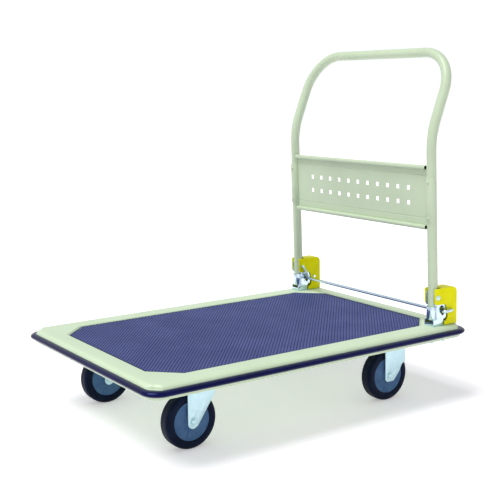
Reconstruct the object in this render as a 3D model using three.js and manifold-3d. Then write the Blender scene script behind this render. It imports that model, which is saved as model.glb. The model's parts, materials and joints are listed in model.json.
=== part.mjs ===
// A folding platform cart: pressed-steel deck on four casters, with a tube handle that folds over the deck.
// Millimetres, +Z up, +X towards the end away from the handle, +Y towards the cart's left side.
// Heights below are measured from the axles' level less 62.5. At the end the group is moved so that its
// origin is on the floor, under the middle of the whole cart.
import * as THREE from "three";
import { mergeVertices } from "three/addons/utils/BufferGeometryUtils.js";
import Module from "manifold-3d";

const wasm = await Module();
wasm.setup();

const GAP = 0.3; // kept between pieces that touch
const SHEET = 2; // pressed steel of the deck and its cross members

// Deck, measured from its own middle. Lengths run along X and widths along Y.
const DECK = {
  length: 910,
  width: 630,
  corner: 30,
  top: 189.2,
  bottom: 157.5,
  roll: 12,
  lip: 12,
  recess: 4.2,
};
const MAT = { length: 816, width: 516, chamfer: 62, middle: -3, thickness: 1.4 };
const BUMPER = { reach: 12.5, low: 165, high: 179 };
const bedLow = DECK.top - DECK.recess - SHEET; // underside of the bed that the mat lies in

// Handle: one bent tube whose upper part leans back. It is laid out with its legs upright and then
// turned forward a little about the hinge pins, which is how it stands.
const TUBE = { radius: 12.7, wall: 1.5, side: 279, x: -376, lean: 88.8 };
const HANDLE = { foot: 230, bend: 672, top: 877.5, bendRadius: 200, cornerRadius: 106 };
const HANDLE_TILT = THREE.MathUtils.degToRad(1.5);
const PANEL = { low: 440, high: 591, sheet: 1.5, roll: 6, rollLength: 530 };
const PEG = { count: 11, pitch: 39.5, size: 11, rows: [497, 535.5] };
const FLANGE = { low: 455, high: 568, wrap: THREE.MathUtils.degToRad(78) };

// Hinge: the tube turns on a pin through a steel bracket, under a plastic cover.
// Its outlines' X places are measured from the tube's axis.
const PIVOT = { z: 262.5, radius: 4 };
const BRACKET = { inner: 13.4, sheet: 2.4, low: DECK.top + GAP, wrapLow: 206, wrapHigh: 239 };
const COVER = { inner: 16.3, wall: 2, front: 11, rear: -67, low: DECK.top + 1.3, high: 285.5 };
const COVER_ROUND = 14;
const HINGE_BOLTS = [2, -38];

// Lock bar: a rod across the cart whose ends turn back into holes in the covers.
const BAR = { radius: 4, x: -18, z: 226, pivotX: -45, pivotZ: 228, arm: 305, bend: 7, travel: 12 };

// Casters: the front pair is fixed, and the rear pair swivels.
const WHEEL = { radius: 65, axle: 62.5, width: 32, core: 45, hubWidth: 34, bore: 8.4 };
const CASTER = { side: 203.5, plateTop: DECK.bottom - GAP, plate: 2.5, plateLength: 105, plateWidth: 85 };
const FORK = { inner: 19.2, sheet: 2.4, bolt: 5 };
const FRONT = { axle: 304.7, middle: 284 };
const REAR = { axle: -279, swivel: -304 };
const BOLT_SPACING = { x: 80, y: 60 };

const FINISH = {
  paint: { color: 0xd3e6cb, roughness: 0.45, metalness: 0.1 },
  mat: { color: 0x4a5488, roughness: 0.8, metalness: 0 },
  bumper: { color: 0x10124a, roughness: 0.3, metalness: 0 },
  yellow: { color: 0xdedc00, roughness: 0.45, metalness: 0 },
  zinc: { color: 0xc4dbe4, roughness: 0.3, metalness: 0.9 },
  steel: { color: 0x9a9da0, roughness: 0.4, metalness: 0.9 },
  rubber: { color: 0x14161c, roughness: 0.85, metalness: 0 },
  hub: { color: 0x466994, roughness: 0.5, metalness: 0 },
};

const cart = new THREE.Group();

// ---- Making and joining solids ----

// A geometry's closed surface as a solid that can be joined and cut.
function solid(geometry) {
  const bare = geometry.clone();
  bare.deleteAttribute("normal");
  bare.deleteAttribute("uv");
  const merged = mergeVertices(bare, 1e-4);
  return new wasm.Manifold(
    new wasm.Mesh({
      numProp: 3,
      vertProperties: new Float32Array(merged.attributes.position.array),
      triVerts: new Uint32Array(merged.index.array),
    }),
  );
}

function join(...geometries) {
  return geometryOf(geometries.map(solid).reduce((sum, next) => sum.add(next)));
}

function cut(geometry, ...tools) {
  return geometryOf(tools.map(solid).reduce((rest, tool) => rest.subtract(tool), solid(geometry)));
}

function geometryOf(made) {
  const mesh = made.getMesh();
  const points = new Float32Array(mesh.numVert * 3);
  for (let i = 0; i < mesh.numVert; i++) {
    points.set(mesh.vertProperties.subarray(i * mesh.numProp, i * mesh.numProp + 3), i * 3);
  }
  const geometry = new THREE.BufferGeometry();
  geometry.setAttribute("position", new THREE.BufferAttribute(points, 3));
  geometry.setIndex(new THREE.BufferAttribute(new Uint32Array(mesh.triVerts), 1));
  geometry.computeVertexNormals();
  return geometry;
}

function add(name, geometry, finish) {
  const mesh = new THREE.Mesh(geometry, new THREE.MeshStandardMaterial(FINISH[finish]));
  mesh.name = name;
  cart.add(mesh);
}

// ---- Plain shapes ----

function box(x0, x1, y0, y1, z0, z1) {
  const shape = new THREE.BoxGeometry(x1 - x0, y1 - y0, z1 - z0);
  return shape.translate((x0 + x1) / 2, (y0 + y1) / 2, (z0 + z1) / 2);
}

function roundedRectangle(length, width, corner) {
  const shape = new THREE.Shape();
  const [x, y] = [length / 2 - corner, width / 2 - corner];
  shape.absarc(x, y, corner, 0, Math.PI / 2);
  shape.absarc(-x, y, corner, Math.PI / 2, Math.PI);
  shape.absarc(-x, -y, corner, Math.PI, 1.5 * Math.PI);
  shape.absarc(x, -y, corner, 1.5 * Math.PI, 2 * Math.PI);
  return shape;
}

// A flat shape in XY, raised from z0 to z1.
function prismZ(shape, z0, z1, curveSegments = 3) {
  const prism = new THREE.ExtrudeGeometry(shape, { depth: z1 - z0, bevelEnabled: false, curveSegments });
  return prism.translate(0, 0, z0);
}

// A flat shape in XZ, run along Y from y0 to y1.
function prismY(shape, y0, y1, curveSegments = 3) {
  const prism = new THREE.ExtrudeGeometry(shape, { depth: y1 - y0, bevelEnabled: false, curveSegments });
  return prism.rotateX(Math.PI / 2).translate(0, y1, 0);
}

function discShape(radius, x = 0, y = 0) {
  return new THREE.Shape().absarc(x, y, radius, 0, 2 * Math.PI);
}

// A round bar along Y through (x, z), from y0 to y1.
function barY(radius, x, z, y0, y1, sides = 12) {
  const bar = new THREE.CylinderGeometry(radius, radius, y1 - y0, sides);
  return bar.translate(x, (y0 + y1) / 2, z);
}

function barZ(radius, x, y, z0, z1, sides = 12) {
  const bar = new THREE.CylinderGeometry(radius, radius, z1 - z0, sides).rotateX(Math.PI / 2);
  return bar.translate(x, y, (z0 + z1) / 2);
}

// A closed section turned about an axis along Y. Its points are [radius, offset along Y].
function turnedY(section, x, y, z, sides, start = 0) {
  const points = section.map(([radius, along]) => new THREE.Vector2(radius, along));
  return new THREE.LatheGeometry(points, sides, start).translate(x, y, z);
}

function turnedZ(section, x, y, sides) {
  const points = section.map(([radius, along]) => new THREE.Vector2(radius, along));
  return new THREE.LatheGeometry(points, sides).rotateX(Math.PI / 2).translate(x, y, 0);
}

// A path of straight lines whose inner corners are rounded to the given radii.
function bentPath(points, radii) {
  const path = new THREE.CurvePath();
  let from = points[0];
  for (let i = 1; i < points.length - 1; i++) {
    const back = points[i - 1].clone().sub(points[i]).normalize();
    const ahead = points[i + 1].clone().sub(points[i]).normalize();
    const turn = Math.PI - back.angleTo(ahead);
    const reach = radii[i - 1] * Math.tan(turn / 2);
    const pull = reach - (4 / 3) * Math.tan(turn / 4) * radii[i - 1];
    const start = points[i].clone().addScaledVector(back, reach);
    const end = points[i].clone().addScaledVector(ahead, reach);
    path.add(new THREE.LineCurve3(from, start));
    path.add(
      new THREE.CubicBezierCurve3(
        start,
        points[i].clone().addScaledVector(back, pull),
        points[i].clone().addScaledVector(ahead, pull),
        end,
      ),
    );
    from = end;
  }
  path.add(new THREE.LineCurve3(from, points.at(-1)));
  return path;
}

function tubeAlong(path, steps, radius, sides) {
  return new THREE.ExtrudeGeometry(discShape(radius), {
    steps,
    extrudePath: path,
    curveSegments: sides,
    bevelEnabled: false,
  });
}

// ---- Deck ----

function deckPan() {
  const { length, width, corner, top, bottom, roll, lip, recess } = DECK;
  const rolled = (inset, high, low) => {
    const edge = roll - inset;
    const outline = roundedRectangle(length - 2 * roll, width - 2 * roll, corner - roll);
    const block = new THREE.ExtrudeGeometry(outline, {
      depth: high - low - edge,
      bevelThickness: edge,
      bevelSize: edge,
      bevelSegments: 3,
      curveSegments: 3,
    });
    return block.translate(0, 0, low);
  };
  const shell = cut(
    rolled(0, top, bottom),
    box(-length, length, -width, width, bottom - 2 * roll, bottom),
  );
  const hollow = cut(
    rolled(SHEET, top - SHEET, bottom + SHEET),
    box(-length, length, -width, width, bottom - 2 * roll, bottom + SHEET),
    prismZ(matOutline(2 * GAP + SHEET), bedLow, top),
  );
  const inside = roundedRectangle(length - 2 * (SHEET + lip), width - 2 * (SHEET + lip), corner / 2);
  const mouth = prismZ(inside, bottom - 1, bottom + SHEET + 1, 3);
  return cut(
    shell,
    hollow,
    mouth,
    prismZ(matOutline(2 * GAP), top - recess, top + 1),
    ...hingeBoltHoles(top - 2 * SHEET, top + 1),
  );
}

function matOutline(spread) {
  const x = MAT.length / 2 + spread;
  const y = MAT.width / 2 + spread;
  const c = MAT.chamfer;
  const outline = new THREE.Shape();
  const corners = [
    [x, y - c],
    [x - c, y],
    [c - x, y],
    [-x, y - c],
    [-x, c - y],
    [c - x, -y],
    [x - c, -y],
    [x, c - y],
  ];
  corners.forEach(([u, v], i) => (i ? outline.lineTo(u + MAT.middle, v) : outline.moveTo(u + MAT.middle, v)));
  return outline;
}

function deckMat() {
  const low = DECK.top - DECK.recess + GAP;
  return prismZ(matOutline(0), low, low + MAT.thickness);
}

function bumperStrip() {
  const { length, width, corner } = DECK;
  const { reach, low, high } = BUMPER;
  const half = (high - low) / 2;
  const strip = new THREE.ExtrudeGeometry(roundedRectangle(length, width, corner), {
    depth: 0.5,
    bevelThickness: half - 0.25,
    bevelSize: reach,
    bevelSegments: 3,
    curveSegments: 3,
  }).translate(0, 0, low + half - 0.25);
  const inside = roundedRectangle(length + 2 * GAP, width + 2 * GAP, corner + GAP);
  return cut(strip, prismZ(inside, low - 5, high + 5, 3));
}

// A shallow channel, open upwards, that stiffens the deck from below and takes the casters' bolts.
function channel(x0, x1, y0, y1, holes, z1 = bedLow - GAP) {
  const z0 = DECK.bottom;
  const trough = box(x0 + SHEET, x1 - SHEET, y0 - 1, y1 + 1, z0 + SHEET, z1 + 1);
  return cut(box(x0, x1, y0, y1, z0, z1), trough, ...holes);
}

function casterBoltPlaces(middle, side) {
  const places = [];
  for (const u of [-1, 1]) {
    for (const v of [-1, 1]) {
      places.push([middle + (u * BOLT_SPACING.x) / 2, side * CASTER.side + (v * BOLT_SPACING.y) / 2]);
    }
  }
  return places;
}

function casterBoltHoles(middle) {
  return [-1, 1].flatMap((side) =>
    casterBoltPlaces(middle, side).map(([x, y]) =>
      barZ(4.9, x, y, DECK.bottom - 1, DECK.bottom + SHEET + 1, 6),
    ),
  );
}

function hingeBoltHoles(z0, z1, sides = [-1, 1]) {
  return sides.flatMap((side) =>
    HINGE_BOLTS.map((x) => barZ(4.4, TUBE.x + x, side * TUBE.side, z0, z1, 8)),
  );
}

function hingeStiffener(side) {
  const y = side * (TUBE.side - 4);
  const low = DECK.bottom;
  const holes = hingeBoltHoles(low - 1, low + SHEET + 1, [side]);
  return channel(TUBE.x - 56, TUBE.x + 12, y - 23, y + 23, holes, DECK.top - SHEET - GAP);
}

add("deck_pan", deckPan(), "paint");
add("deck_mat", deckMat(), "mat");
add("bumper_strip", bumperStrip(), "bumper");
const memberWidth = CASTER.plateLength / 2 + 6;
const memberEnd = DECK.width / 2 - SHEET - DECK.lip - 4;
add(
  "front_cross_member",
  channel(
    FRONT.middle - memberWidth,
    FRONT.middle + memberWidth,
    -memberEnd,
    memberEnd,
    casterBoltHoles(FRONT.middle),
  ),
  "paint",
);
add(
  "rear_cross_member",
  channel(
    REAR.swivel - memberWidth,
    REAR.swivel + memberWidth,
    -memberEnd,
    memberEnd,
    casterBoltHoles(REAR.swivel),
  ),
  "paint",
);
add(
  "centre_stiffener",
  cut(
    box(
      REAR.swivel + memberWidth + 1,
      FRONT.middle - memberWidth - 1,
      -45,
      45,
      DECK.bottom + 6,
      bedLow - GAP,
    ),
    box(-500, 500, -45 + SHEET, 45 - SHEET, DECK.bottom + 6 + SHEET, DECK.top + 1),
  ),
  "paint",
);

// ---- Hinges ----

// The bracket's cheek seen from the side, with a lobe behind the slot that the lock bar moves in.
function cheekShape() {
  const outline = new THREE.Shape();
  outline.moveTo(13, BRACKET.low);
  outline.lineTo(13, BRACKET.wrapLow);
  outline.lineTo(0, BRACKET.wrapLow);
  outline.lineTo(0, BRACKET.wrapHigh);
  outline.lineTo(9, BRACKET.wrapHigh + 5);
  outline.lineTo(9, PIVOT.z + 8);
  outline.absarc(0, PIVOT.z + 6, 10, 0.2, Math.PI / 2, false);
  outline.lineTo(-18, PIVOT.z + 16);
  outline.lineTo(-44, PIVOT.z);
  outline.lineTo(-44, 240);
  outline.lineTo(-30, 235);
  outline.absarc(-23.5, 215, 8, THREE.MathUtils.degToRad(165), THREE.MathUtils.degToRad(275), false);
  outline.lineTo(-21, 204);
  outline.lineTo(-21, BRACKET.low);
  return outline;
}

// The slot is wide where the bar rests and narrow where the bar goes when it is pressed.
function barSlot(y0, y1) {
  const wide = new THREE.Shape();
  wide.absarc(BAR.x + 2, BAR.z + 8.5, 7, 0, Math.PI);
  wide.absarc(BAR.x + 2, BAR.z + 1, 7, Math.PI, 2 * Math.PI);
  const end = pressedBar();
  return join(prismY(wide, y0, y1, 4), barY(5, end.x, end.z, y0, y1, 10));
}

function pressedBar() {
  const angle = THREE.MathUtils.degToRad(BAR.travel);
  const [x, z] = [BAR.x - BAR.pivotX, BAR.z - BAR.pivotZ];
  return {
    x: BAR.pivotX + x * Math.cos(angle) + z * Math.sin(angle),
    z: BAR.pivotZ - x * Math.sin(angle) + z * Math.cos(angle),
  };
}

// The bracket's front wall: half a ring round the tube's front, with short straight ends.
function wrapShape() {
  const [inner, outer] = [BRACKET.inner, BRACKET.inner + BRACKET.sheet];
  const wrap = new THREE.Shape();
  wrap.moveTo(-2, -outer);
  wrap.absarc(0, 0, outer, -Math.PI / 2, Math.PI / 2, false);
  wrap.lineTo(-2, outer);
  wrap.lineTo(-2, inner);
  wrap.absarc(0, 0, inner, Math.PI / 2, -Math.PI / 2, true);
  wrap.lineTo(-2, -inner);
  return wrap;
}

function hingeBracket() {
  const [inner, outer] = [BRACKET.inner, BRACKET.inner + BRACKET.sheet];
  const floor = BRACKET.low + BRACKET.sheet;
  return cut(
    join(
      prismY(cheekShape(), inner, outer),
      prismY(cheekShape(), -outer, -inner),
      prismZ(wrapShape(), BRACKET.wrapLow, BRACKET.wrapHigh, 5),
      box(-50, 13, -inner - 1, inner + 1, BRACKET.low, floor),
      box(13 - BRACKET.sheet, 13, -inner - 1, inner + 1, BRACKET.low, floor + 6),
    ),
    barY(PIVOT.radius + 0.3, 0, PIVOT.z, -outer - 1, outer + 1),
    barSlot(-outer - 1, outer + 1),
    ...HINGE_BOLTS.map((x) => barZ(4.4, x, 0, BRACKET.low - 1, floor + 1, 8)),
  );
}

// The cover's cheek seen from the side, cut away low at the front to bare the bracket and its slot.
function coverShape() {
  const { front, rear, high } = COVER;
  const outline = new THREE.Shape();
  outline.moveTo(-24, COVER.low);
  outline.lineTo(-23.5, 199);
  outline.quadraticCurveTo(-35.5, 203, -35, 214);
  outline.lineTo(-33, 228);
  outline.quadraticCurveTo(-30, 243.5, -24, 244);
  outline.lineTo(front - 6, 244);
  outline.lineTo(front, 249);
  outline.absarc(front - 4, high - 4, 4, 0, Math.PI / 2, false);
  outline.absarc(rear + COVER_ROUND, high - COVER_ROUND, COVER_ROUND, Math.PI / 2, Math.PI, false);
  outline.lineTo(rear, COVER.low);
  return outline;
}

// The hollow under the cover, open at the front and below.
function coverHollow() {
  const rear = COVER.rear + COVER.wall;
  const high = COVER.high - COVER.wall;
  const round = COVER_ROUND - COVER.wall;
  const outline = new THREE.Shape();
  outline.moveTo(COVER.front + 5, COVER.low - 5);
  outline.lineTo(COVER.front + 5, COVER.high + 5);
  outline.lineTo(-TUBE.radius - 1.6, COVER.high + 5);
  outline.lineTo(-TUBE.radius - 1.6, high);
  outline.absarc(rear + round, high - round, round, Math.PI / 2, Math.PI, false);
  outline.lineTo(rear, COVER.low - 5);
  return outline;
}

function hingeCover() {
  const outer = COVER.inner + COVER.wall;
  return cut(
    prismY(coverShape(), -outer, outer, 4),
    prismY(coverHollow(), -COVER.inner, COVER.inner, 4),
    barY(PIVOT.radius + 0.3, 0, PIVOT.z, -outer - 1, outer + 1),
    barY(BAR.radius + 0.5, BAR.pivotX, BAR.pivotZ, -outer - 1, outer + 1),
  );
}

// The pin's head is domed and faces outwards. The spring hooks on its inner end.
function hingePin(side) {
  const outer = COVER.inner + COVER.wall + GAP;
  const pin = turnedY(
    [
      [0, -outer - 6],
      [PIVOT.radius - 0.8, -outer - 6],
      [PIVOT.radius, -outer - 5],
      [PIVOT.radius, outer],
      [8, outer],
      [7, outer + 2],
      [4, outer + 3.2],
      [0, outer + 3.6],
    ],
    0,
    0,
    PIVOT.z,
    12,
  );
  return side < 0 ? pin.rotateZ(Math.PI) : pin;
}

// A round-headed bolt down through the bracket, deck and stiffener, with its nut.
function hingeBolt(x) {
  const seat = BRACKET.low + BRACKET.sheet + GAP;
  const nutTop = DECK.bottom - GAP;
  return turnedZ(
    [
      [0, 143],
      [4, 143],
      [4, nutTop - 7],
      [7.5, nutTop - 7],
      [7.5, nutTop],
      [4, nutTop],
      [4, seat],
      [8, seat],
      [7, seat + 2.4],
      [0, seat + 4],
    ],
    x,
    0,
    8,
  );
}

// The spring between the pin's inner end and the lock bar, as the solid of its coils.
function lockSpring(side) {
  const from = new THREE.Vector3(0, 0, PIVOT.z);
  const to = new THREE.Vector3(BAR.x, 0, BAR.z);
  const along = to.clone().sub(from);
  const reach = along.length();
  const coil = new THREE.CylinderGeometry(4.4, 4.4, reach - 2 * (BAR.radius + 1), 10);
  coil.rotateX(Math.PI);
  coil.applyQuaternion(
    new THREE.Quaternion().setFromUnitVectors(new THREE.Vector3(0, -1, 0), along.normalize()),
  );
  const middle = from.add(to).multiplyScalar(0.5);
  const inner = COVER.inner + COVER.wall + 5.5;
  return coil.translate(middle.x, -side * inner, middle.z);
}

// The lock bar's end: out past the cover, back, and in through the hole that it turns in.
function barCrank(side) {
  const tip = TUBE.side - COVER.inner - COVER.wall - 2;
  const path = bentPath(
    [
      new THREE.Vector3(BAR.pivotX, side * tip, BAR.pivotZ),
      new THREE.Vector3(BAR.pivotX, side * BAR.arm, BAR.pivotZ),
      new THREE.Vector3(BAR.x, side * BAR.arm, BAR.z),
      new THREE.Vector3(BAR.x, side * (BAR.arm - 20), BAR.z),
    ],
    [BAR.bend, BAR.bend],
  );
  return tubeAlong(path, 16, BAR.radius, 4);
}

function lockBar() {
  return join(
    barY(BAR.radius, BAR.x, BAR.z, 20 - BAR.arm, BAR.arm - 20, 8),
    barCrank(1),
    barCrank(-1),
  );
}

for (const [word, side] of [
  ["left", 1],
  ["right", -1],
]) {
  const place = (geometry) => geometry.translate(TUBE.x, side * TUBE.side, 0);
  add(word + "_hinge_stiffener", hingeStiffener(side), "paint");
  add(word + "_hinge_bracket", place(hingeBracket()), "zinc");
  add(word + "_hinge_cover", place(hingeCover()), "yellow");
  add(word + "_hinge_pin", place(hingePin(side)), "zinc");
  add(word + "_front_hinge_bolt", place(hingeBolt(HINGE_BOLTS[0])), "zinc");
  add(word + "_rear_hinge_bolt", place(hingeBolt(HINGE_BOLTS[1])), "zinc");
  add(word + "_lock_spring", place(lockSpring(side)), "zinc");
}
add("lock_bar", lockBar().translate(TUBE.x, 0, 0), "zinc");

// ---- Handle ----

function handleTube() {
  const topX = TUBE.x - TUBE.lean;
  const straight = HANDLE.bend - 60;
  const path = bentPath(
    [
      new THREE.Vector3(TUBE.x, TUBE.side, straight),
      new THREE.Vector3(TUBE.x, TUBE.side, HANDLE.bend),
      new THREE.Vector3(topX, TUBE.side, HANDLE.top),
      new THREE.Vector3(topX, -TUBE.side, HANDLE.top),
      new THREE.Vector3(TUBE.x, -TUBE.side, HANDLE.bend),
      new THREE.Vector3(TUBE.x, -TUBE.side, straight),
    ],
    [HANDLE.bendRadius, HANDLE.cornerRadius, HANDLE.cornerRadius, HANDLE.bendRadius],
  );
  const bore = TUBE.radius - TUBE.wall;
  const legs = (radius, low, high) =>
    [-1, 1].map((side) => barZ(radius, TUBE.x, side * TUBE.side, low, high, 12));
  const pinHoles = [-1, 1].map((side) =>
    barY(PIVOT.radius + 0.4, TUBE.x, PIVOT.z, side * TUBE.side - 20, side * TUBE.side + 20),
  );
  return cut(
    join(tubeAlong(path, 34, TUBE.radius, 6), ...legs(TUBE.radius, HANDLE.foot, straight + 1)),
    join(tubeAlong(path, 34, bore, 4), ...legs(bore, HANDLE.foot - 1, straight + 1)),
    ...pinHoles,
    ...panelRivetHoles(),
  );
}

const sheetBack = TUBE.x + 1; // the panel's sheet lies in the plane of the uprights
const flangeBack = TUBE.x + TUBE.radius + GAP; // and its flanges pass in front of them

function rivetPlaces() {
  return [-1, 1].flatMap((side) => [FLANGE.low + 10, FLANGE.high - 13].map((z) => [side * TUBE.side, z]));
}

function barX(radius, x0, x1, y, z, sides = 8) {
  const bar = new THREE.CylinderGeometry(radius, radius, x1 - x0, sides).rotateZ(Math.PI / 2);
  return bar.translate((x0 + x1) / 2, y, z);
}

function panelRivetHoles() {
  return rivetPlaces().map(([y, z]) => barX(2.5, TUBE.x + 6, flangeBack + 4, y, z));
}

// The flange saddles the front of the upright, from its inner side to its outer side.
function flangeShape(side) {
  const inner = TUBE.radius + GAP;
  const outer = inner + PANEL.sheet;
  const y = side * TUBE.side;
  const start = (-side * Math.PI) / 2;
  const turn = side * FLANGE.wrap;
  const shape = new THREE.Shape();
  shape.absarc(TUBE.x, y, inner, start, turn, side < 0);
  shape.absarc(TUBE.x, y, outer, turn, start, side > 0);
  return shape;
}

// A sheet between the uprights, rolled along its top and bottom edges and pierced by two rows of squares.
function handlePanel() {
  const x = sheetBack + PANEL.roll;
  const inside = TUBE.side - TUBE.radius - GAP - PANEL.sheet / 2;
  const roll = (z) => {
    const half = PANEL.rollLength / 2;
    return cut(
      barY(PANEL.roll, x, z, -half, half, 10),
      barY(PANEL.roll - PANEL.sheet, x, z, -half - 1, half + 1, 8),
    );
  };
  const sheet = box(sheetBack, sheetBack + PANEL.sheet, -inside, inside, PANEL.low, PANEL.high);
  const pegs = PEG.rows.flatMap((z) =>
    Array.from({ length: PEG.count }, (_, i) => {
      const y = (i - (PEG.count - 1) / 2) * PEG.pitch;
      const half = PEG.size / 2;
      return box(sheetBack - 1, sheetBack + PANEL.sheet + 1, y - half, y + half, z - half, z + half);
    }),
  );
  return cut(
    join(
      cut(sheet, ...pegs),
      roll(PANEL.low),
      roll(PANEL.high),
      prismZ(flangeShape(1), FLANGE.low, FLANGE.high, 5),
      prismZ(flangeShape(-1), FLANGE.low, FLANGE.high, 5),
    ),
    ...rivetPlaces().map(([y, z]) => barX(2.6, flangeBack - 3, flangeBack + 4, y, z)),
  );
}

function panelRivet(y, z) {
  const seat = flangeBack + PANEL.sheet + GAP;
  const section = [
    [0, flangeBack - 3],
    [2.1, flangeBack - 3],
    [2.1, seat],
    [4.4, seat],
    [3.4, seat + 1.2],
    [0, seat + 1.8],
  ];
  const points = section.map(([radius, along]) => new THREE.Vector2(radius, along));
  return new THREE.LatheGeometry(points, 8).rotateZ(-Math.PI / 2).translate(0, y, z);
}

function tilted(geometry) {
  return geometry.translate(-TUBE.x, 0, -PIVOT.z).rotateY(HANDLE_TILT).translate(TUBE.x, 0, PIVOT.z);
}

add("handle_tube", tilted(handleTube()), "paint");
add("handle_panel", tilted(handlePanel()), "paint");
rivetPlaces().forEach(([y, z], i) => {
  const name = (y > 0 ? "left" : "right") + (i % 2 ? "_upper" : "_lower") + "_panel_rivet";
  add(name, tilted(panelRivet(y, z)), "paint");
});

// ---- Casters ----

// A wheel's rim has a flat facet at the bottom, so the tread's corners stand a little past its radius.
const wheelSides = 24;
const facet = Math.PI / wheelSides;
const tread = WHEEL.radius / Math.cos(facet);

const tyreSection = [
  [WHEEL.core + GAP, -WHEEL.width / 2],
  [tread - 6, -WHEEL.width / 2],
  [tread, -WHEEL.width / 2 + 5],
  [tread, WHEEL.width / 2 - 5],
  [tread - 6, WHEEL.width / 2],
  [WHEEL.core + GAP, WHEEL.width / 2],
  [WHEEL.core + GAP, -WHEEL.width / 2],
];

const hubSection = [
  [WHEEL.bore, -WHEEL.hubWidth / 2],
  [15, -WHEEL.hubWidth / 2],
  [WHEEL.core, -WHEEL.hubWidth / 2 + 1.5],
  [WHEEL.core, WHEEL.hubWidth / 2 - 1.5],
  [15, WHEEL.hubWidth / 2],
  [WHEEL.bore, WHEEL.hubWidth / 2],
  [WHEEL.bore, -WHEEL.hubWidth / 2],
];

function sleeveSection() {
  const half = FORK.inner - GAP;
  const inner = FORK.bolt + 0.4;
  return [
    [inner, -half],
    [WHEEL.bore - 0.4, -half],
    [WHEEL.bore - 0.4, half],
    [inner, half],
    [inner, -half],
  ];
}

function hexagon(radius, x, z) {
  const shape = new THREE.Shape();
  for (let i = 0; i < 6; i++) {
    const angle = (i * Math.PI) / 3;
    const point = [x + radius * Math.cos(angle), z + radius * Math.sin(angle)];
    if (i) shape.lineTo(...point);
    else shape.moveTo(...point);
  }
  return shape;
}

// The axle bolt's head is on the cart's outer side, and its nut on the inner side.
function axleBolt(x, y, out) {
  const seat = FORK.inner + FORK.sheet + GAP;
  const head = [y + out * seat, y + out * (seat + 4.5)].sort((a, b) => a - b);
  const shank = [y - out * (seat + 9), y + out * (seat + 1)].sort((a, b) => a - b);
  return join(
    prismY(hexagon(8.6, x, WHEEL.axle), ...head),
    barY(FORK.bolt, x, WHEEL.axle, ...shank, 10),
  );
}

function axleNut(x, y, out) {
  const seat = FORK.inner + FORK.sheet + GAP;
  const nut = [y - out * (seat + 7), y - out * seat].sort((a, b) => a - b);
  return cut(
    prismY(hexagon(8.6, x, WHEEL.axle), ...nut),
    barY(FORK.bolt + 0.3, x, WHEEL.axle, nut[0] - 1, nut[1] + 1, 10),
  );
}

// A bolted plate, with its bolts and their nuts.
function casterPlate(middle, side) {
  const y = side * CASTER.side;
  const high = CASTER.plateTop;
  const low = high - CASTER.plate;
  const bolts = casterBoltPlaces(middle, side).flatMap(([u, v]) => [
    barZ(4, u, v, low - 1, DECK.bottom + SHEET + 9, 6),
    prismZ(hexagon(7.2, u, v), low - 5, low + 0.5),
    prismZ(hexagon(7.2, u, v), DECK.bottom + SHEET + GAP, DECK.bottom + SHEET + 6.5),
  ]);
  const outline = roundedRectangle(CASTER.plateLength, CASTER.plateWidth, 8);
  return join(prismZ(outline, low, high, 2).translate(middle, y, 0), ...bolts);
}

// Half-plane outline of a fork's leg, from the bracket's top down round the axle.
function rigidLeg(top) {
  const x = FRONT.axle;
  const leg = new THREE.Shape();
  leg.moveTo(x + 12.5, top);
  leg.lineTo(x - 61, top);
  leg.lineTo(x - 58, 118);
  leg.lineTo(x - 11, WHEEL.axle - 13);
  leg.absarc(x, WHEEL.axle - 4, 12.5, THREE.MathUtils.degToRad(222), 2 * Math.PI, false);
  return leg;
}

function swivelLeg(top) {
  const x = REAR.axle;
  const leg = new THREE.Shape();
  leg.moveTo(x + 13, top);
  leg.lineTo(x - 54, top);
  leg.lineTo(x - 54, 93);
  leg.lineTo(x - 42, 86);
  leg.lineTo(x - 34, 70);
  leg.lineTo(x - 14, WHEEL.axle - 15);
  leg.lineTo(x + 8, WHEEL.axle - 15);
  leg.lineTo(x + 13, WHEEL.axle - 9);
  return leg;
}

function forkLegs(leg, axle, y) {
  const [inner, outer] = [FORK.inner, FORK.inner + FORK.sheet];
  const hole = barY(FORK.bolt + 0.3, axle, WHEEL.axle, y - outer - 1, y + outer + 1, 10);
  return [-1, 1].map((s) => {
    const faces = [y + s * inner, y + s * outer].sort((a, b) => a - b);
    return cut(prismY(leg, ...faces, 4), hole);
  });
}

function rigidFork(side) {
  const y = side * CASTER.side;
  const top = CASTER.plateTop - CASTER.plate;
  return join(casterPlate(FRONT.middle, side), ...forkLegs(rigidLeg(top + 0.5), FRONT.axle, y));
}

const crownLow = 133;
const crownHigh = crownLow + 3;
const raceHigh = 146;

function swivelFork(side) {
  const y = side * CASTER.side;
  const outer = FORK.inner + FORK.sheet;
  const crown = box(REAR.axle - 54, REAR.axle + 13, y - outer, y + outer, crownLow, crownHigh);
  const cup = barZ(24, REAR.swivel, y, crownLow + 1, crownHigh + 2.5, 14);
  const kingpinHole = barZ(6.4, REAR.swivel, y, crownLow - 1, crownHigh + 4, 12);
  return cut(join(crown, cup, ...forkLegs(swivelLeg(crownHigh - 0.5), REAR.axle, y)), kingpinHole);
}

function ballRace(side) {
  const low = crownHigh + 2.5 + GAP;
  const section = [
    [17, low],
    [23, low],
    [23, raceHigh - GAP],
    [17, raceHigh - GAP],
    [17, low],
  ];
  return turnedZ(section, REAR.swivel, side * CASTER.side, 14);
}

function swivelPlate(side) {
  const y = side * CASTER.side;
  const low = CASTER.plateTop - CASTER.plate;
  const boss = barZ(30, REAR.swivel, y, raceHigh, low + 0.5, 16);
  const kingpinHole = barZ(6.4, REAR.swivel, y, raceHigh - 2, CASTER.plateTop + 1, 12);
  return cut(join(casterPlate(REAR.swivel, side), boss), kingpinHole);
}

function kingpin(side) {
  const section = [
    [0, crownLow - 5],
    [10, crownLow - 5],
    [10, crownLow - GAP],
    [6, crownLow - GAP],
    [6, CASTER.plateTop - 0.5],
    [0, CASTER.plateTop - 0.5],
  ];
  return turnedZ(section, REAR.swivel, side * CASTER.side, 12);
}

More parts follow.
